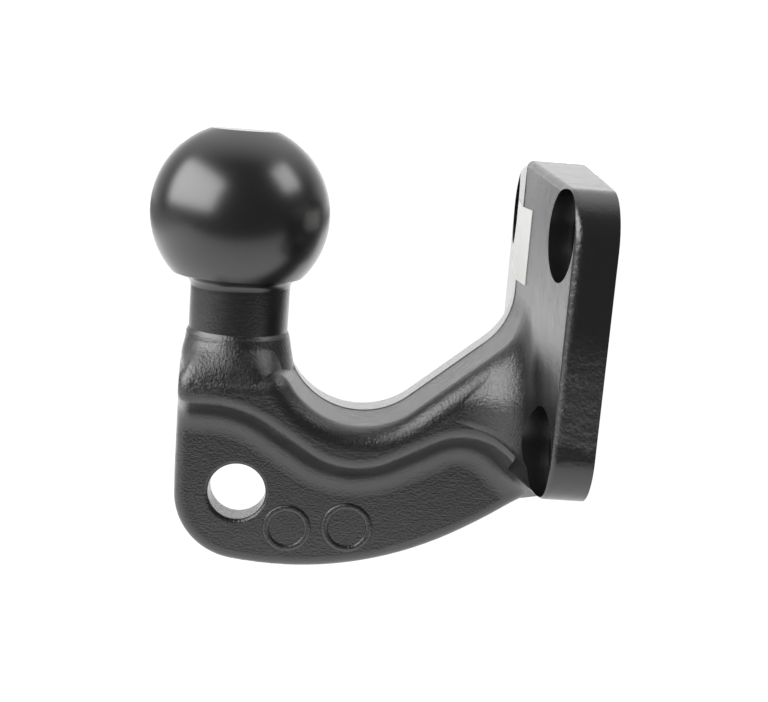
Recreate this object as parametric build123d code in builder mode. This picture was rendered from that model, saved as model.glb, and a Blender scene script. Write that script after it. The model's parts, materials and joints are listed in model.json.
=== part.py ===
# Swan-neck tow ball with a four-hole flange, one drop forging with a paper label on its flange.
# The dies part on the plane Y = 0. X points into the towing vehicle, Z points up.
# The origin is the middle of the bolt pattern on the flange's mounting face.
import os
from math import atan2, cos, degrees, radians, sin, sqrt, tan

from build123d import *

# Ball and neck, turned after forging
ball_d = 50.0
ball_flat_d = 19.2
ball_end_d = 36.8
ball_under_slope = 20.0
ball_reach = 95.0
ball_rise = 23.6
neck_d = 28.0
neck_shift = 1.1
neck_low = 32.5
shoulder_d = 29.2
collar_low = 44.0
collar_long = 32.6
collar_wide = 35.6
collar_shift = 1.6

# Forging draft and the swan-neck bar, heights and reaches measured from the ball's centre
draft_angle = 5.5
bar_width = 38.0
bar_edge_r = 6.0
bar_low_r = 4.0
bar_end_x = -14.9
bar_top = 40.0
crest_r = 8.0
saddle_x = 37.0
saddle_low = 54.2
saddle_r = 22.0
rise_angle = 40.0
root_r = 20.0
root_edge_r = 3.0
heel_x = -5.0
heel_low = 54.3
heel_r = 30.0
belly_x = 36.0
belly_low = 70.0
belly_r = 26.0
hollow_x = 67.0
hollow_low = 59.0
hollow_r = 15.0
fall_angle = 40.0
step_slope = 30.0

# Thin ear under the bar with the hole for the break-away cable
ear_thick = 10.0
ear_edge_r = 3.5
ear_corner_r = 20.0
ear_corner_low = 81.4
ear_step_r = 9.0
cable_hole_d = 16.6
cable_rim_r = 1.2
cable_x = 3.5
cable_low = 80.0
keel_x = 66.6
keel_low = 89.6
keel_dip = 8.5
tail_low = 69.8

# Flange with its bolt holes and their recessed seats
flange_width = 110.0
flange_height = 88.6
flange_mid = 16.0
flange_corner_r = 14.0
flange_edge_r = 1.8
bolt_gap_y = 83.0
bolt_gap_z = 56.0
bolt_hole_d = 13.0
seat_d = 23.6
seat_floor = 8.0

# Paper label wrapped over the flange's front ridge
label_near = 11.0
label_far = 27.0
label_gap = 3.3
label_height = 20.7
label_thick = 0.15

# Measures that follow from the sizes above
mid = Plane(origin=(-ball_reach, 0, ball_rise), x_dir=(1, 0, 0), z_dir=(0, -1, 0))
bar_half = bar_width / 2
spare = 0.8 * flange_mid
deep_x = ball_reach + spare
deep_low = ear_corner_low + 2 * ear_corner_r
saddle_c = saddle_r - saddle_low
rise = tan(radians(rise_angle))
up_x = saddle_x + saddle_r * sin(radians(rise_angle))
up_z = saddle_c - saddle_r * cos(radians(rise_angle))
up_end = (deep_x, up_z + (deep_x - up_x) * rise)
crest_x = saddle_x - sqrt((saddle_r + crest_r) ** 2 - (bar_top + crest_r + saddle_c) ** 2)
crest_turn = degrees(atan2(saddle_x - crest_x, saddle_c + bar_top + crest_r))
flange_lean = tan(radians(draft_angle))
root_reach = flange_mid + 1.2 * root_r
root_top = ball_rise + up_z + (ball_reach - flange_mid - up_x) * rise + root_r * tan(radians((90 - rise_angle) / 2))
neck_root_r = 0.38 * (ball_end_d - neck_d - 2 * neck_shift)
step_mid = (bar_half + ear_thick / 2) / 2


def on_arc(x, z, r, angle):
    """Point on an arc, the angle counted from straight up toward the flange"""
    return (x + r * sin(radians(angle)), z + r * cos(radians(angle)))


def joining_slope(run, drop, low_r, high_r):
    """Slope of the line that touches a hanging arc and the standing arc beside it"""
    rest = sqrt(run**2 + drop**2 - (low_r + high_r) ** 2)
    return 90 - degrees(atan2(drop, run)) - degrees(atan2(rest, low_r + high_r))


def walls(part):
    """Faces that stand square on the parting plane"""
    return [face for face in part.faces() if abs(face.normal_at().Y) < 0.01]


def touching(part, tool):
    """Edges whose middle lies on another body"""
    return [e for e in part.edges() if Vertex(*(e @ 0.5)).distance_to(tool) < 0.001]


# Lower outline of the bar: heel under the ball, belly under the saddle, hollow before the flange
belly_z = belly_r - belly_low
hollow_z = -hollow_low - hollow_r
heel_z = -heel_low - heel_r
hollow_slope = joining_slope(hollow_x - belly_x, belly_z - hollow_z, belly_r, hollow_r)
heel_slope = joining_slope(belly_x - heel_x, belly_z - heel_z, belly_r, heel_r)
fall_start = on_arc(hollow_x, hollow_z, hollow_r, fall_angle)
fall_end = (deep_x + spare, fall_start[1] - (deep_x + spare - fall_start[0]) * tan(radians(fall_angle)))
hollow_start = on_arc(hollow_x, hollow_z, hollow_r, -hollow_slope)
belly_end = on_arc(belly_x, belly_z, -belly_r, -hollow_slope)
belly_start = on_arc(belly_x, belly_z, -belly_r, heel_slope)
heel_end = on_arc(heel_x, heel_z, heel_r, heel_slope)

# Outline of the room below the bar
with BuildSketch() as low_outline:
    with BuildLine():
        Line((bar_end_x - spare, -heel_low), (heel_x, -heel_low))
        ThreePointArc((heel_x, -heel_low), on_arc(heel_x, heel_z, heel_r, heel_slope / 2), heel_end)
        Line(heel_end, belly_start)
        ThreePointArc(belly_start, (belly_x, -belly_low), belly_end)
        Line(belly_end, hollow_start)
        ThreePointArc(hollow_start, (hollow_x, -hollow_low), fall_start)
        Line(fall_start, fall_end)
        Line(fall_end, (fall_end[0], -deep_low - spare))
        Line((fall_end[0], -deep_low - spare), (bar_end_x - spare, -deep_low - spare))
        Line((bar_end_x - spare, -deep_low - spare), (bar_end_x - spare, -heel_low))
    make_face()

# Room below the hollow root, with plain forging draft
with BuildPart() as below:
    with BuildSketch(mid):
        add(low_outline.sketch)
    extrude(amount=flange_width)
    draft([face for face in walls(below) if face.normal_at().Z > 0.1], Plane.XZ, -draft_angle)

# Room below the bar, its top sloping up from the ear toward the bar's near face
with BuildPart() as step_room:
    with BuildSketch(mid):
        add(low_outline.sketch)
    extrude(amount=1.2 * bar_half)
    draft([face for face in walls(step_room) if face.normal_at().Z > 0.1], Plane.XZ.offset(step_mid), -step_slope)

# Thin ear below the bar, its lower corner running round the cable hole
with BuildPart() as ear:
    with BuildSketch(mid):
        with BuildLine():
            corner_x = bar_end_x + ear_corner_r
            corner_end = on_arc(corner_x, -ear_corner_low, -ear_corner_r, keel_dip)
            corner_mid = on_arc(corner_x, -ear_corner_low, -ear_corner_r, keel_dip / 2 + 45)
            dip = (cos(radians(keel_dip)), -sin(radians(keel_dip)))
            Line((bar_end_x, -(bar_top + heel_low) / 2), (bar_end_x, -ear_corner_low))
            ThreePointArc((bar_end_x, -ear_corner_low), corner_mid, corner_end)
            keel = TangentArc(corner_end, (keel_x, -keel_low), tangent=dip)
            tail = TangentArc(keel @ 1, (ball_reach, -tail_low), tangent=keel % 1)
            run_out = Line(tail @ 1, tail @ 1 + tail % 1 * spare)
            Line(run_out @ 1, ((run_out @ 1).X, -saddle_low))
            Line(((run_out @ 1).X, -saddle_low), (hollow_x, -saddle_low))
            Line((hollow_x, -saddle_low), (belly_x, -(saddle_low + belly_low) / 2))
            Line((belly_x, -(saddle_low + belly_low) / 2), (bar_end_x, -(bar_top + heel_low) / 2))
        make_face()
    extrude(amount=ear_thick / 2)
    draft(walls(ear), Plane.XZ, draft_angle)

# Room below the ear's tail, which also ends the bar under the flange
with BuildPart() as tail_room:
    with BuildSketch(mid):
        with BuildLine():
            toe = TangentArc(keel @ 1, tail @ 1, tangent=keel % 1)
            slide = Line(toe @ 1, run_out @ 1)
            Line(slide @ 1, ((slide @ 1).X, -deep_low))
            Line(((slide @ 1).X, -deep_low), (keel_x, -deep_low))
            Line((keel_x, -deep_low), (keel_x, -keel_low))
        make_face()
    extrude(amount=flange_width)
    draft([face for face in walls(tail_room) if face.normal_at().Z > 0.1], Plane.XZ, -draft_angle)

# Near half of the bar, still running straight down below its lower outline
with BuildPart() as deep_bar:
    with BuildSketch(mid):
        with BuildLine():
            Line((bar_end_x, -bar_top), (crest_x, -bar_top))
            crest_mid = on_arc(crest_x, -bar_top - crest_r, crest_r, crest_turn / 2)
            crest_end = on_arc(crest_x, -bar_top - crest_r, crest_r, crest_turn)
            ThreePointArc((crest_x, -bar_top), crest_mid, crest_end)
            ThreePointArc(crest_end, (saddle_x, -saddle_low), (up_x, up_z))
            Line((up_x, up_z), up_end)
            Line(up_end, (deep_x, -deep_low))
            Line((deep_x, -deep_low), (bar_end_x, -deep_low))
            Line((bar_end_x, -deep_low), (bar_end_x, -bar_top))
        make_face()
    extrude(amount=bar_half)
    draft(walls(deep_bar), Plane.XZ, draft_angle)
    bar_rim = deep_bar.faces().sort_by(Axis.Y)[0].edges()
    fillet([e for e in bar_rim if e.center().Z > ball_rise - saddle_low and e.center().X < 0], bar_edge_r)

# Near half of the bar with its rounded lower edge
with BuildPart() as swan_bar:
    add(deep_bar.part)
    add(step_room.part, mode=Mode.SUBTRACT)
    fillet([e for e in touching(swan_bar, step_room.part) if abs(e.center().Y + bar_half) < 0.01], bar_low_r)

# Near half of the flange with drafted faces and rounded corners
with BuildPart() as plate:
    with BuildSketch(Plane.XZ):
        with Locations(((spare - flange_mid) / 2, 0)):
            Rectangle(flange_mid + spare, flange_height)
    extrude(amount=flange_width / 2)
    draft(walls(plate), Plane.XZ, draft_angle)
    fillet(plate.faces().sort_by(Axis.Y)[0].edges().filter_by(Axis.X), flange_corner_r)

# Wall with the flange's front, for shaping the root
with BuildPart() as wall:
    with BuildSketch(Plane.XZ):
        with Locations(((spare - flange_mid) / 2, 0)):
            Rectangle(flange_mid + spare, 1.6 * (deep_low - ball_rise))
    extrude(amount=bar_half + 2 * root_r)
    draft(walls(wall), Plane.XZ, draft_angle)
wall_front = wall.faces().sort_by(Axis.X)[0]

# Wide hollow root that carries the bar into the flange's front
with BuildPart() as root:
    add(wall.part)
    add(deep_bar.part)
    seam = [e for e in touching(root, wall_front) if -bar_half - 0.01 < e.center().Y < -0.01]
    fillet([e for e in seam if e.center().Z < root_top], root_r)
    lifted = below.part.moved(Location((0, 0, bar_low_r)))
    add(lifted, mode=Mode.SUBTRACT)
    rim = [e for e in touching(root, lifted) if e.center().Y < -bar_half + 0.01]
    fillet([e for e in rim if e.center().Y > -bar_half - root_r and e.center().X < 0], root_edge_r)

# Near half of the flange with the rounded rim of its front
with BuildPart() as flange:
    add(plate.part)
    front_rim = flange.faces().sort_by(Axis.X)[0].edges()
    fillet([e for e in front_rim if e.center().Y < -0.01], flange_edge_r)

# Near half of bar and ear, with the hollow step between them and the cable hole
with BuildPart() as near_bar:
    add(swan_bar.part)
    add(ear.part)
    seam_plane = [e for e in touching(near_bar, swan_bar.part) if abs((e @ 0.5).Y + ear_thick / 2) < 0.001]
    fillet([e for e in seam_plane if Vertex(*(e @ 0.5)).distance_to(step_room.part) < 0.001], ear_step_r)
    split(bisect_by=Plane.YZ, keep=Keep.BOTTOM)
    ear_face = near_bar.faces().filter_by(lambda f: abs(f.center().Y + ear_thick / 2) < 0.001)
    keel_rim = [e for e in ear_face.edges() if e.geom_type == GeomType.CIRCLE]
    fillet([e for e in keel_rim if (e @ 0.5).Z < ball_rise - cable_low], ear_edge_r)
    with BuildSketch(mid):
        with Locations((cable_x, -cable_low)):
            Circle(cable_hole_d / 2)
    extrude(amount=ear_thick, mode=Mode.SUBTRACT)
    hole_rim = near_bar.edges().filter_by(GeomType.CIRCLE)
    hole_rim = [e for e in hole_rim if abs(e.radius - cable_hole_d / 2) < 0.001 and e.center().Y < -0.01]
    fillet(hole_rim, cable_rim_r)
    add(tail_room.part, mode=Mode.SUBTRACT)

# Near half of the forging
with BuildPart() as near_half:
    add(root.part)
    with Locations((0, 0, -flange_height / 2 + 2 * flange_edge_r)):
        Box(
            2 * root_reach,
            2 * (bar_half + root_r),
            root_top + flange_height / 2,
            align=(Align.CENTER, Align.CENTER, Align.MIN),
            mode=Mode.INTERSECT,
        )
    add(tail_room.part, mode=Mode.SUBTRACT)
    add(flange.part)
    add(near_bar.part)
    split(bisect_by=Plane.YZ, keep=Keep.BOTTOM)

# Bolt holes with their recessed seats
seat_plane = Plane(origin=(-seat_floor, 0, 0), x_dir=(0, -1, 0), z_dir=(-1, 0, 0))
bolt_spots = [(bolt_gap_y / 2, -bolt_gap_z / 2), (bolt_gap_y / 2, bolt_gap_z / 2)]
with BuildPart() as drilled_half:
    add(near_half.part)
    with BuildSketch(seat_plane):
        with Locations(bolt_spots):
            Circle(bolt_hole_d / 2)
    extrude(amount=flange_mid, both=True, mode=Mode.SUBTRACT)
    with BuildSketch(seat_plane):
        with Locations(bolt_spots):
            Circle(seat_d / 2)
    extrude(amount=ball_reach, mode=Mode.SUBTRACT)

# Ball with its flat top, and the neck turned a little off the ball's axis
ball_r = ball_d / 2
ball_flat_z = sqrt(ball_r**2 - (ball_flat_d / 2) ** 2)
ball_end_z = -sqrt(ball_r**2 - (ball_end_d / 2) ** 2)
ball_tip_z = ball_end_z - ball_end_d / 2 * tan(radians(ball_under_slope))
with BuildPart() as ball:
    with BuildSketch(mid):
        with BuildLine():
            Line((0, ball_tip_z), (0, ball_flat_z))
            Line((0, ball_flat_z), (ball_flat_d / 2, ball_flat_z))
            ThreePointArc((ball_flat_d / 2, ball_flat_z), (ball_r, 0), (ball_end_d / 2, ball_end_z))
            Line((ball_end_d / 2, ball_end_z), (0, ball_tip_z))
        make_face()
    revolve(axis=Axis((-ball_reach, 0, ball_rise), (0, 0, 1)))
    with Locations((neck_shift - ball_reach, 0, ball_rise - neck_low)):
        Cylinder(neck_d / 2, neck_low, align=(Align.CENTER, Align.CENTER, Align.MIN))
    under_ball = ball.edges().filter_by(lambda e: ball_tip_z < e.center().Z - ball_rise < ball_end_z - 0.001)
    fillet([e for e in under_ball if e.length > 2 * neck_d], neck_root_r)

# Forged shoulder, flaring from the round neck toward the wide bar
with BuildPart() as collar:
    with BuildSketch(Plane.XY.offset(ball_rise - neck_low)):
        with Locations((neck_shift - ball_reach, 0)):
            Circle(neck_d / 2)
    with BuildSketch(Plane.XY.offset(ball_rise - neck_low - (shoulder_d - neck_d))):
        with Locations((neck_shift - ball_reach, 0)):
            Circle(shoulder_d / 2)
    loft()
    with BuildSketch(Plane.XY.offset(ball_rise - neck_low - (shoulder_d - neck_d))):
        with Locations((neck_shift - ball_reach, 0)):
            Circle(shoulder_d / 2)
    with BuildSketch(Plane.XY.offset(ball_rise - collar_low)):
        with Locations((collar_shift - ball_reach, 0)):
            Ellipse(collar_long / 2, collar_wide / 2)
    loft()

# The whole forging
with BuildPart() as tow_ball_forging:
    add(drilled_half.part)
    mirror(about=Plane.XZ)
    add(ball.part)
    add(collar.part)
tow_ball_forging.part.label = "tow_ball_forging"

# Paper label glued over the ridge of the flange's front
with BuildPart() as paper_label:
    with BuildSketch(Plane.XY.offset(root_top + label_gap)):
        with BuildLine():
            near_x = -flange_mid + label_near * flange_lean
            far_x = -flange_mid + label_far * flange_lean
            Polyline(
                (near_x, -label_near),
                (-flange_mid, 0),
                (far_x, label_far),
                (far_x - label_thick, label_far),
                (-flange_mid - label_thick, 0),
                (near_x - label_thick, -label_near),
                close=True,
            )
        make_face()
    extrude(amount=label_height)
paper_label.part.label = "paper_label"

os.makedirs("parts", exist_ok=True)
export_step(tow_ball_forging.part, "parts/tow_ball_forging.step")
export_step(paper_label.part, "parts/paper_label.step")
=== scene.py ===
import json
from math import cos, pi, radians, sin, tan

import bmesh
import bpy
from mathutils import Matrix, Vector


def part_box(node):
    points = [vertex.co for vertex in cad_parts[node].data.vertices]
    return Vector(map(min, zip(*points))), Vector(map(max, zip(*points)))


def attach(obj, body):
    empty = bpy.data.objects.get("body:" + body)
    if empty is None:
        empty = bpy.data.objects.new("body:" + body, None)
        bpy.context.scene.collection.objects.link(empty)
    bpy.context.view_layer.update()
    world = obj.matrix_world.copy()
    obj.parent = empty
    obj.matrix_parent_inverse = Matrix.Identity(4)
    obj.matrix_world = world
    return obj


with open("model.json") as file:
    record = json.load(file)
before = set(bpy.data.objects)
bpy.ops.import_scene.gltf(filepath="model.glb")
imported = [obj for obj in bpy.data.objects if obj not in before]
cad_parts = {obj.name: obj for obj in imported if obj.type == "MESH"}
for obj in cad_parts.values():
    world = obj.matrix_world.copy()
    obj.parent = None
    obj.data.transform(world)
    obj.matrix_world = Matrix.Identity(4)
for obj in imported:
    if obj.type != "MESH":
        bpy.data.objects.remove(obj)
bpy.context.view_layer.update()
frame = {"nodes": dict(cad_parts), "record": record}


# The forging: one drop-forged piece of steel with ball and neck turned on it, coated satin black.
# Turned surfaces are smooth under the coat; forged ones keep a blasted grit and patches of rough scale.
# It is the solid from the CAD model, and its finish follows where it was turned, forged or trimmed.
def linear(hex_code):
    """Linear colour of an sRGB hex code, with full alpha"""
    parts = [int(hex_code[i : i + 2], 16) / 255 for i in (0, 2, 4)]
    return [c / 12.92 if c <= 0.04045 else ((c + 0.055) / 1.055) ** 2.4 for c in parts] + [1.0]


def node(tree, kind, settings=None, links=None, **attributes):
    """Adds a shader node, sets its fields and inputs and links sockets into it"""
    made = tree.nodes.new(kind)
    for name, value in attributes.items():
        setattr(made, name, value)
    for name, value in (settings or {}).items():
        made.inputs[name].default_value = value
    for name, socket in (links or {}).items():
        tree.links.new(socket, made.inputs[name])
    return made


mm = 0.001
forging = frame["nodes"]["tow_ball_forging"]
flange_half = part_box("tow_ball_forging")[1].y
mounts = {mount["name"]: mount for mount in frame["record"]["mounts"]}
ball_centre = Vector(mounts["coupling_ball"]["pos_m"])
bolt_gaps = mounts["flange_bolts"]["dims"]
bolt = (0.0, bolt_gaps["spacing_x_mm"] / 2 * mm, bolt_gaps["spacing_y_mm"] / 2 * mm)
ball_r = 25.0 * mm
neck_foot = -8.5 * mm
neck_back = -70.0 * mm
neck_grit = 0.45
seat_r = 11.8 * mm
# Electro-dipped black paint on blasted steel: a satin film that mirrors bright things softly
coat = bpy.data.materials.new("black_dip_paint_on_blasted_steel")
coat.use_nodes = True
tree = coat.node_tree
tree.nodes.clear()
place = node(tree, "ShaderNodeTexCoord").outputs["Object"]
along = node(tree, "ShaderNodeSeparateXYZ", None, {0: place}).outputs
across = node(tree, "ShaderNodeMath", None, {0: along["Y"]}, operation="ABSOLUTE").outputs["Value"]
# Turned is what lies on the ball's sphere, or on the neck above its forged shoulder
from_ball = node(tree, "ShaderNodeVectorMath", {1: ball_centre}, {0: place}, operation="DISTANCE")
off_ball = node(
    tree,
    "ShaderNodeMapRange",
    {"From Min": ball_r + 0.2 * mm, "From Max": ball_r + 0.7 * mm},
    {"Value": from_ball.outputs["Value"]},
).outputs["Result"]
below_neck = node(
    tree,
    "ShaderNodeMapRange",
    {"From Min": neck_foot, "From Max": neck_foot - 1.3 * mm, "To Min": neck_grit},
    {"Value": along["Z"]},
).outputs["Result"]
past_neck = node(
    tree,
    "ShaderNodeMapRange",
    {"From Min": neck_back, "From Max": neck_back + 2.0 * mm},
    {"Value": along["X"]},
).outputs["Result"]
off_neck = node(
    tree, "ShaderNodeMath", None, {0: below_neck, 1: past_neck}, operation="MAXIMUM"
).outputs["Value"]
off_lathe = node(
    tree, "ShaderNodeMath", None, {0: off_ball, 1: off_neck}, operation="MINIMUM"
).outputs["Value"]
# Milled are the four bolt seats, round about their bolts and short of the flange's back
folded = node(tree, "ShaderNodeVectorMath", None, {0: place}, operation="ABSOLUTE").outputs["Vector"]
quarter = node(
    tree, "ShaderNodeVectorMath", {1: (0.0, 1.0, 1.0)}, {0: folded}, operation="MULTIPLY"
).outputs["Vector"]
from_bolt = node(tree, "ShaderNodeVectorMath", {1: bolt}, {0: quarter}, operation="DISTANCE")
beside_seat = node(
    tree,
    "ShaderNodeMapRange",
    {"From Min": seat_r + 0.1 * mm, "From Max": seat_r + 0.3 * mm},
    {"Value": from_bolt.outputs["Value"]},
).outputs["Result"]
at_back = node(
    tree, "ShaderNodeMapRange", {"From Min": -3.0 * mm, "From Max": -1.0 * mm}, {"Value": along["X"]}
).outputs["Result"]
off_seat = node(
    tree, "ShaderNodeMath", None, {0: beside_seat, 1: at_back}, operation="MAXIMUM"
).outputs["Value"]
forged = node(
    tree, "ShaderNodeMath", None, {0: off_lathe, 1: off_seat}, operation="MINIMUM"
).outputs["Value"]
# Rough scale lies low on the flange's two sides, ragged along their front edges, and high on the bar's
# end. Its edges wander by 6 mm either way, with seven patches in 50 mm.
patch_mm = 50 / 7
wander = 12.0 * mm
patches = node(
    tree, "ShaderNodeTexNoise", {"Scale": 1000 / patch_mm, "Detail": 3.0}, {"Vector": place}
).outputs["Fac"]
rugged = node(
    tree, "ShaderNodeMath", {1: wander, 2: -wander / 2}, {0: patches}, operation="MULTIPLY_ADD"
).outputs["Value"]
torn_z = node(tree, "ShaderNodeMath", None, {0: along["Z"], 1: rugged}, operation="ADD").outputs["Value"]
at_side = node(
    tree,
    "ShaderNodeMapRange",
    {"From Min": flange_half - 1.4 * mm, "From Max": flange_half - 0.7 * mm},
    {"Value": across},
).outputs["Result"]
over_foot = node(
    tree, "ShaderNodeMapRange", {"From Min": -24.0 * mm, "From Max": -22.8 * mm}, {"Value": torn_z}
).outputs["Result"]
under_middle = node(
    tree, "ShaderNodeMapRange", {"From Min": 6.0 * mm, "From Max": -6.0 * mm}, {"Value": torn_z}
).outputs["Result"]
front_edge = node(
    tree,
    "ShaderNodeMapRange",
    {"From Min": -8.2 * mm, "From Max": -9.4 * mm, "To Max": 0.7},
    {"Value": along["X"]},
).outputs["Result"]
low_or_front = node(
    tree, "ShaderNodeMath", None, {0: under_middle, 1: front_edge}, operation="MAXIMUM"
).outputs["Value"]
side_band = node(
    tree, "ShaderNodeMath", None, {0: over_foot, 1: low_or_front}, operation="MULTIPLY"
).outputs["Value"]
side_scale = node(
    tree, "ShaderNodeMath", None, {0: side_band, 1: at_side}, operation="MULTIPLY"
).outputs["Value"]
bar_end = node(
    tree,
    "ShaderNodeMapRange",
    {"From Min": -94.0 * mm, "From Max": -102.0 * mm, "To Max": 0.7},
    {"Value": along["X"]},
).outputs["Result"]
over_step = node(
    tree, "ShaderNodeMapRange", {"From Min": -27.5 * mm, "From Max": -25.5 * mm}, {"Value": torn_z}
).outputs["Result"]
under_neck = node(
    tree, "ShaderNodeMapRange", {"From Min": -20.0 * mm, "From Max": -21.5 * mm}, {"Value": torn_z}
).outputs["Result"]
end_band = node(
    tree, "ShaderNodeMath", None, {0: over_step, 1: under_neck}, operation="MULTIPLY"
).outputs["Value"]
end_scale = node(
    tree, "ShaderNodeMath", None, {0: end_band, 1: bar_end}, operation="MULTIPLY"
).outputs["Value"]
scaly = node(
    tree, "ShaderNodeMath", None, {0: side_scale, 1: end_scale}, operation="MAXIMUM"
).outputs["Value"]
# Blasted grit over wide hammer waves, with scale lumps on top: seven grains in 5 mm, 13 lumps in 25 mm.
# The grit is drawn coarser than the real one, so that it shows, and the flange has less than the bar.
grit_mm = 5 / 7
wave_mm = 5.0
lump_mm = 25 / 13
grit = node(
    tree,
    "ShaderNodeTexNoise",
    {"Scale": 1000 / grit_mm, "Detail": 3.0, "Roughness": 0.65},
    {"Vector": place},
).outputs["Fac"]
waves = node(
    tree, "ShaderNodeTexNoise", {"Scale": 1000 / wave_mm, "Detail": 2.0}, {"Vector": place}
).outputs["Fac"]
lumps = node(
    tree,
    "ShaderNodeTexNoise",
    {"Scale": 1000 / lump_mm, "Detail": 4.0, "Roughness": 0.6},
    {"Vector": place},
).outputs["Fac"]
on_bar = node(
    tree,
    "ShaderNodeMapRange",
    {"From Min": -13.0 * mm, "From Max": -19.0 * mm, "To Min": 0.25, "To Max": 0.75},
    {"Value": along["X"]},
).outputs["Result"]
grit_step = node(
    tree, "ShaderNodeMath", None, {0: forged, 1: on_bar}, operation="MULTIPLY"
).outputs["Value"]
grit_bump = node(
    tree, "ShaderNodeBump", {"Distance": 0.28 * mm}, {"Height": grit, "Strength": grit_step}
).outputs["Normal"]
wave_step = node(tree, "ShaderNodeMapRange", {"To Max": 0.35}, {"Value": forged}).outputs["Result"]
wave_bump = node(
    tree,
    "ShaderNodeBump",
    {"Distance": 0.35 * mm},
    {"Height": waves, "Strength": wave_step, "Normal": grit_bump},
).outputs["Normal"]
lump_bump = node(
    tree,
    "ShaderNodeBump",
    {"Distance": 0.6 * mm},
    {"Height": lumps, "Strength": scaly, "Normal": wave_bump},
).outputs["Normal"]
turned_roughness = 0.28
forged_roughness = 0.25
scale_dulls = 0.16
film = node(
    tree,
    "ShaderNodeMapRange",
    {"To Min": turned_roughness, "To Max": forged_roughness},
    {"Value": forged},
).outputs["Result"]
dull = node(
    tree, "ShaderNodeMath", {1: scale_dulls}, {0: scaly, 2: film}, operation="MULTIPLY_ADD"
).outputs["Value"]
paint = node(
    tree,
    "ShaderNodeBsdfPrincipled",
    {"Base Color": linear("0D0D0E"), "IOR": 1.65, "Specular IOR Level": 0.9},
    {"Roughness": dull, "Normal": lump_bump},
)
node(tree, "ShaderNodeOutputMaterial", None, {"Surface": paint.outputs["BSDF"]})
forging.data.materials[0] = coat


# The shoulder's skirt: forged metal that fills the corners between the round shoulder and the bar's
# square end, one with the forging. It swells out of the shoulder and runs into the bar's end and sides.
def forged_on(name, mesh):
    """A form of the forging made of a closed mesh: smooth, painted with the forging, and riding with it"""
    bmesh.ops.recalc_face_normals(mesh, faces=mesh.faces)
    for face in mesh.faces:
        face.smooth = True
    data = bpy.data.meshes.new(name)
    mesh.to_mesh(data)
    mesh.free()
    piece = bpy.data.objects.new(name, data)
    bpy.context.scene.collection.objects.link(piece)
    data.materials.append(coat)
    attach(piece, "root")


def eased(share):
    """A share held between 0 and 1 and made level at both ends"""
    share = min(1.0, max(0.0, share))
    return share * share * (3 - 2 * share)


# Reaches are from the shoulder's axis. The shoulder is a little long towards the bar's end and flares
# downwards, more at its sides. The skirt fades out towards the flange, by the cosine of its plan angle.
shoulder_x = -93.4 * mm
shoulder_r = 14.7 * mm
shoulder_long = 0.4 * mm
shoulder_short = 0.2 * mm
flare_at_ends = 1.6 * mm
flare_more_aside = 2.0 * mm
bar_end_reach = 16.5 * mm
bar_side_reach = 18.95 * mm
end_draft = tan(radians(5.5))
squareness = 14
least_share = 0.05
fade_from = 0.86
fade_over = 0.60
skirt_bulge = 0.5 * mm
skirt_sunk = 0.12 * mm


def skirt_reach(angle, fall):
    """The skirt's reach from the shoulder's axis, by plan angle and by how far down it is, 0 to 1"""
    to_end, to_side = -cos(angle), abs(sin(angle))
    shoulder = shoulder_r + shoulder_long * to_end - shoulder_short * max(0.0, -to_end)
    flare = flare_at_ends + flare_more_aside * to_side
    drafted = max(to_end + end_draft * to_side, least_share)
    square = (drafted / bar_end_reach) ** squareness + (to_side / bar_side_reach) ** squareness
    bar = square ** (-1 / squareness)
    corner = (bar - shoulder - flare) * eased(fall) + skirt_bulge * sin(pi * fall) ** 2
    return shoulder + flare * fall + eased((fade_from + to_end) / fade_over) * corner - skirt_sunk


skirt_top = -10.5 * mm
skirt_drop = 12.0 * mm
skirt_starts = 34.0
skirt_turn = 292.0
skirt_columns = 116
skirt_rows = 16
inner_r = 11.0 * mm
inner_depths = (-21.5 * mm, -12.5 * mm)
mesh = bmesh.new()
columns = []
for k in range(skirt_columns + 1):
    angle = radians(skirt_starts + skirt_turn * k / skirt_columns)
    rim = []
    for j in range(skirt_rows + 1):
        fall = j / skirt_rows
        rim.append((skirt_reach(angle, fall), skirt_top - skirt_drop * fall))
    rim += [(inner_r, depth) for depth in inner_depths]
    columns.append(
        [mesh.verts.new((shoulder_x + reach * cos(angle), reach * sin(angle), z)) for reach, z in rim]
    )
around = len(columns[0])
for left, right in zip(columns, columns[1:]):
    for j in range(around):
        below = (j + 1) % around
        mesh.faces.new((left[j], left[below], right[below], right[j]))
mesh.faces.new(columns[0])
mesh.faces.new(columns[-1][::-1])
forged_on("shoulder_skirt", mesh)


# The flash lines: thin low ridges of steel squeezed out where the die halves met, trimmed and painted over.
# One runs down the ridge of the flange's front, through the root and saddle and up the forged shoulder,
# the other down the bar's free end, both on the middle plane.
def bead(name, path, faces_out, width, height, closed=False):
    """A low rounded bead along a path on a surface, its lower half sunk into the steel"""
    sides = 10
    tip = 0.25
    tip_steps = 4
    mesh = bmesh.new()
    rings = []
    last = len(path) - 1
    for i, point in enumerate(path):
        ahead = path[(i + 1) % len(path)] if closed else path[min(i + 1, last)]
        behind = path[i - 1] if closed else path[max(i - 1, 0)]
        out = Vector(faces_out[i])
        side = out.cross(Vector(ahead) - Vector(behind)).normalized()
        taper = 1.0 if closed else min(1.0, tip + min(i, last - i) / tip_steps)
        ring = []
        for k in range(sides):
            turn = 2 * pi * k / sides
            spread = side * (width / 2 * taper * cos(turn)) + out * (height * taper * sin(turn))
            ring.append(mesh.verts.new(Vector(point) + spread))
        rings.append(ring)
    for i in range(len(rings) if closed else last):
        low, high = rings[i], rings[(i + 1) % len(rings)]
        for k in range(sides):
            mesh.faces.new((low[k], low[(k + 1) % sides], high[(k + 1) % sides], high[k]))
    if not closed:
        mesh.faces.new(rings[0][::-1])
        mesh.faces.new(rings[-1])
    forged_on(name, mesh)


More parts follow.
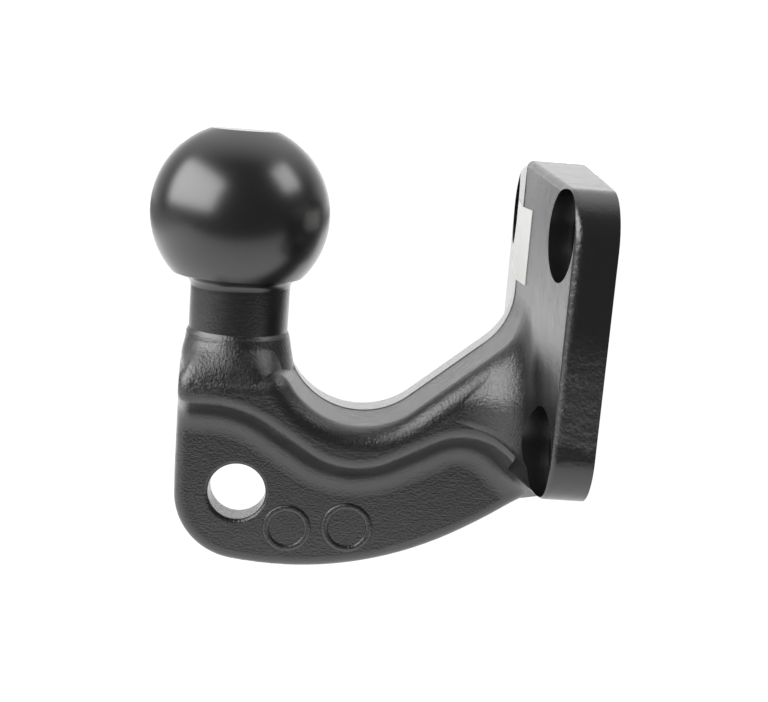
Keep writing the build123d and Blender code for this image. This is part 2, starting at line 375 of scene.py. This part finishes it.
# The front line follows the forging's outline on the middle plane: ridge, root, slope, saddle and rise
flash_width = 1.2 * mm
flash_front_height = 0.08 * mm
flash_end_height = 0.12 * mm
ridge_x, ridge_top, ridge_drop = -16.0 * mm, 42.5 * mm, 35.3 * mm
root_x, root_z, root_r, root_turn = -36.0 * mm, 7.2 * mm, 20.0 * mm, 50.0
slope_x, slope_z, slope_run, slope_drop = -23.14 * mm, -8.06 * mm, 20.72 * mm, 17.39 * mm
saddle_x, saddle_z, saddle_r = -58.0 * mm, -8.6 * mm, 22.0 * mm
saddle_starts, saddle_turn = 40.0, 99.0
rise_x, rise_z, rise_run, rise_height = -77.4 * mm, -19.5 * mm, 1.9 * mm, 8.8 * mm
path, faces_out = [], []
for k in range(19):
    path.append((ridge_x, 0.0, ridge_top - ridge_drop * k / 18))
    faces_out.append((-1.0, 0.0, 0.0))
for k in range(1, 14):
    a = radians(root_turn * k / 13)
    path.append((root_x + root_r * cos(a), 0.0, root_z - root_r * sin(a)))
    faces_out.append((-cos(a), 0.0, sin(a)))
a = radians(saddle_starts)
for k in range(1, 10):
    path.append((slope_x - slope_run * k / 10, 0.0, slope_z - slope_drop * k / 10))
    faces_out.append((-sin(a), 0.0, cos(a)))
for k in range(28):
    a = radians(saddle_starts - saddle_turn * k / 27)
    path.append((saddle_x + saddle_r * sin(a), 0.0, saddle_z - saddle_r * cos(a)))
    faces_out.append((-sin(a), 0.0, cos(a)))
rise_out = Vector((rise_height, 0.0, rise_run)).normalized()
for k in range(1, 8):
    path.append((rise_x - rise_run * k / 8, 0.0, rise_z + rise_height * k / 8))
    faces_out.append(rise_out)
bead("flash_line_front", path, faces_out, flash_width, flash_front_height)
bar_end_x, bar_end_top, bar_end_drop = -109.9 * mm, -21.5 * mm, 36.0 * mm
path = [(bar_end_x, 0.0, bar_end_top - bar_end_drop * k / 20) for k in range(21)]
bead("flash_line_bar_end", path, [(-1.0, 0.0, 0.0)] * len(path), flash_width, flash_end_height)

# The ear rings: two plain raised rings on the ear's near face, struck by the forging die with the ear
# itself, and painted with it.
ear_face_y = -5.0 * mm
ring_width = 2.0 * mm
ring_height = 0.45 * mm
ring_steps = 64
for name, centre_x, centre_z, ring_r in (
    ("ear_ring_left", -76.4 * mm, -66.3 * mm, 6.1 * mm),
    ("ear_ring_right", -59.0 * mm, -65.0 * mm, 6.5 * mm),
):
    turns = [2 * pi * k / ring_steps for k in range(ring_steps)]
    path = [(centre_x + ring_r * cos(a), ear_face_y, centre_z + ring_r * sin(a)) for a in turns]
    bead(name, path, [(0.0, -1.0, 0.0)] * ring_steps, ring_width, ring_height, closed=True)

# The label: a small white paper sticker glued over the ridge of the flange's front.
# Its solid from the CAD model is shown as it is.
label = frame["nodes"]["paper_label"]
# Uncoated white paper: matt, with a faint mottle and nap of fibres about 0.3 mm apart
paper = bpy.data.materials.new("white_label_paper")
paper.use_nodes = True
tree = paper.node_tree
tree.nodes.clear()
fibre_mm = 0.3125
place = node(tree, "ShaderNodeTexCoord").outputs["Object"]
fibres = node(
    tree, "ShaderNodeTexNoise", {"Scale": 1000 / fibre_mm, "Detail": 4.0}, {"Vector": place}
).outputs["Fac"]
tint = node(tree, "ShaderNodeValToRGB", None, {"Fac": fibres})
tint.color_ramp.elements[0].color = linear("E2E2DF")
tint.color_ramp.elements[1].color = linear("F2F2F0")
nap = node(
    tree, "ShaderNodeBump", {"Distance": 0.02 * mm, "Strength": 0.4}, {"Height": fibres}
).outputs["Normal"]
sheet = node(
    tree,
    "ShaderNodeBsdfPrincipled",
    {"Roughness": 0.6},
    {"Base Color": tint.outputs["Color"], "Normal": nap},
)
node(tree, "ShaderNodeOutputMaterial", None, {"Surface": sheet.outputs["BSDF"]})
label.data.materials[0] = paper

# The table: a plain white sheet well below the held part. Its front edge lies under the camera, and it
# carries on out of sight at the back and sides. It shows the part's shadow under a white glow.
table_z, table_front, table_back, table_half = -0.16, -0.345, 4.0, 3.0
mesh = bmesh.new()
corners = [
    mesh.verts.new((x, y, table_z))
    for x, y in (
        (-table_half, table_front),
        (table_half, table_front),
        (table_half, table_back),
        (-table_half, table_back),
    )
]
mesh.faces.new(corners)
data = bpy.data.meshes.new("table")
mesh.to_mesh(data)
mesh.free()
table = bpy.data.objects.new("table", data)
bpy.context.scene.collection.objects.link(table)
# Matt white sheet with a painted glow standing in for light from behind: gloss on the part sees it bright
# at the back, dim in front and aside
white = bpy.data.materials.new("white_table_sheet")
white.use_nodes = True
tree = white.node_tree
tree.nodes.clear()
place = node(tree, "ShaderNodeTexCoord").outputs["Object"]
along = node(tree, "ShaderNodeSeparateXYZ", None, {0: place}).outputs
across = node(tree, "ShaderNodeMath", None, {0: along["X"]}, operation="ABSOLUTE").outputs["Value"]
far_back = node(
    tree, "ShaderNodeMapRange", {"From Min": -0.40, "From Max": 0.40, "To Min": 0.15}, {"Value": along["Y"]}
).outputs["Result"]
not_aside = node(
    tree, "ShaderNodeMapRange", {"From Min": 0.75, "From Max": 0.45, "To Min": 0.15}, {"Value": across}
).outputs["Result"]
# Painted light: the glow's share in gloss rays, highest behind the part and falling off in front and aside
painted_back_light = node(
    tree, "ShaderNodeMath", None, {0: far_back, 1: not_aside}, operation="MINIMUM"
).outputs["Value"]
ray = node(tree, "ShaderNodeLightPath").outputs
by_gloss = node(
    tree,
    "ShaderNodeMath",
    None,
    {0: ray["Is Glossy Ray"], 1: ray["Is Transmission Ray"]},
    operation="MAXIMUM",
).outputs["Value"]
mirrored = node(
    tree, "ShaderNodeMath", None, {0: by_gloss, 1: painted_back_light}, operation="MULTIPLY"
).outputs["Value"]
glow_level = 1.22
glow_more_in_gloss = 0.4
glow_to_camera = 0.8
level = node(
    tree, "ShaderNodeMath", {1: glow_more_in_gloss, 2: glow_level}, {0: mirrored}, operation="MULTIPLY_ADD"
).outputs["Value"]
seen = node(
    tree,
    "ShaderNodeMath",
    {1: glow_to_camera},
    {0: ray["Is Camera Ray"], 2: mirrored},
    operation="MULTIPLY_ADD",
).outputs["Value"]
matt = node(tree, "ShaderNodeBsdfDiffuse", {"Color": linear("BEBEBE")}).outputs["BSDF"]
glow = node(
    tree, "ShaderNodeEmission", {"Color": linear("FFFFFF")}, {"Strength": level}
).outputs["Emission"]
top = node(tree, "ShaderNodeMixShader", None, {0: seen, 1: matt, 2: glow}).outputs["Shader"]
node(tree, "ShaderNodeOutputMaterial", None, {"Surface": top})
table.data.materials.append(white)

# The room: a white backdrop behind the part, brightest straight behind it, a dim ceiling and dark on the
# camera's side. To the camera itself it is white all round.
world = bpy.data.worlds.new("photo_room")
bpy.context.scene.world = world
world.use_nodes = True
tree = world.node_tree
tree.nodes.clear()
ceiling_way = (0.0, 0.6, 0.8)
way = node(tree, "ShaderNodeTexCoord").outputs["Generated"]
along = node(tree, "ShaderNodeSeparateXYZ", None, {0: way}).outputs
backdrop = node(
    tree,
    "ShaderNodeMapRange",
    {"From Min": 0.40, "From Max": 0.90, "To Min": 0.12, "To Max": 1.1},
    {"Value": along["Y"]},
).outputs["Result"]
overhead = node(
    tree, "ShaderNodeVectorMath", {1: ceiling_way}, {0: way}, operation="DOT_PRODUCT"
).outputs["Value"]
ceiling = node(
    tree,
    "ShaderNodeMapRange",
    {"From Min": 0.50, "From Max": 0.94, "To Max": 0.95},
    {"Value": overhead},
).outputs["Result"]
straight_behind = node(
    tree, "ShaderNodeMapRange", {"From Min": 0.86, "From Max": 0.97, "To Max": 0.8}, {"Value": along["Y"]}
).outputs["Result"]
walls = node(tree, "ShaderNodeMath", None, {0: backdrop, 1: ceiling}, operation="MAXIMUM").outputs["Value"]
lit = node(tree, "ShaderNodeMath", None, {0: walls, 1: straight_behind}, operation="ADD").outputs["Value"]
ray = node(tree, "ShaderNodeLightPath").outputs
level = node(
    tree, "ShaderNodeMath", None, {0: lit, 1: ray["Is Camera Ray"]}, operation="MAXIMUM"
).outputs["Value"]
sky = node(
    tree, "ShaderNodeBackground", {"Color": linear("FFFFFF")}, {"Strength": level}
).outputs["Background"]
node(tree, "ShaderNodeOutputWorld", None, {"Surface": sky})

# The soft boxes: two lamps behind white cloth, both facing the ball. The large one stands on the left and
# gives the ball its broad light, the small one stands on the right and gives the narrow one.
lamp_distance = 0.75
for name, way_to, width, tall, power in (
    ("soft_box_left", (-0.810, -0.370, 0.454), 1.06, 0.60, 7.5),
    ("soft_box_right", (0.74, -0.12, 0.66), 0.36, 0.36, 1.35),
):
    lamp = bpy.data.lights.new(name, "AREA")
    lamp.shape = "RECTANGLE"
    lamp.size = width
    lamp.size_y = tall
    lamp.energy = power
    box = bpy.data.objects.new(name, lamp)
    bpy.context.scene.collection.objects.link(box)
    out = Vector(way_to).normalized()
    box.location = ball_centre + out * lamp_distance
    box.rotation_euler = out.to_track_quat("Z", "Y").to_euler()

# The camera: a little above the part and close in front of it, looking slightly down, with the ball on
# the left and the flange on the right. Its place was solved from the ball and the flange's bolt holes.
eye = (-0.069288, -0.357457, 0.059761)
right = Vector((0.99645, -0.03263, 0.07757))
up = Vector((-0.06945, 0.20184, 0.97695))
view = Vector((0.04753, 0.97888, -0.19885))
camera = bpy.data.objects.new("camera", bpy.data.cameras.new("camera"))
bpy.context.scene.collection.objects.link(camera)
turned = Matrix((right, up, -view)).transposed().to_4x4()
camera.matrix_world = Matrix.Translation(eye) @ turned
camera.data.sensor_width = 36.0
camera.data.lens = 59.625
bpy.context.scene.camera = camera
bpy.context.scene.view_settings.view_transform = "Standard"
